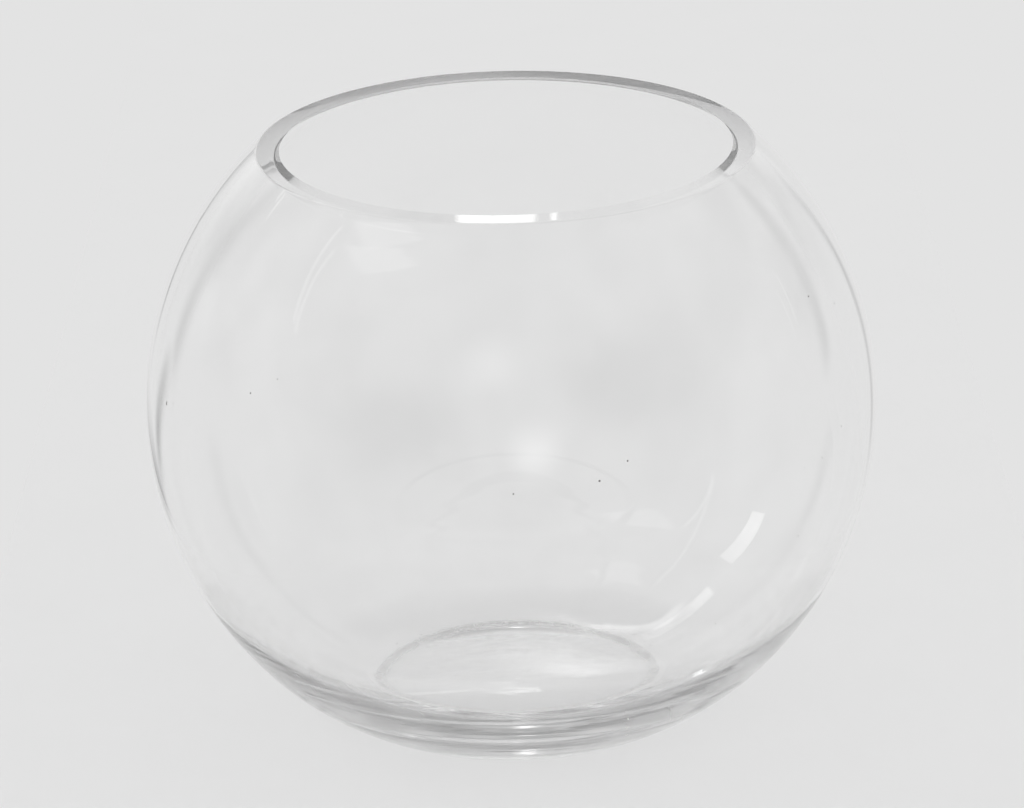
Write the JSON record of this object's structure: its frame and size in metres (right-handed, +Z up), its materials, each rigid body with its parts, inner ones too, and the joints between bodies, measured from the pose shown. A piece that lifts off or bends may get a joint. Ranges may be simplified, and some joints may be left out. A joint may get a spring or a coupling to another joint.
{
  "type": "rose bowl vase",
  "caption": "Round clear glass bowl with a wide ground mouth and a flat ground foot, for floating or arranging cut flowers.",
  "frame": {"origin": "centre of the foot, on the plane that the bowl stands on", "axes": "+Z up along the bowl's axis, towards the mouth; the bowl is round, so X and Y are free"},
  "size_m": [0.2, 0.2, 0.1625],
  "materials": {
    "clear_glass": "fire-polished clear soda-lime glass, with a ground and polished rim and a ground foot"
  },
  "bodies": {
    "root": {"glass_bowl": "clear_glass"}
  },
  "joints": []
}
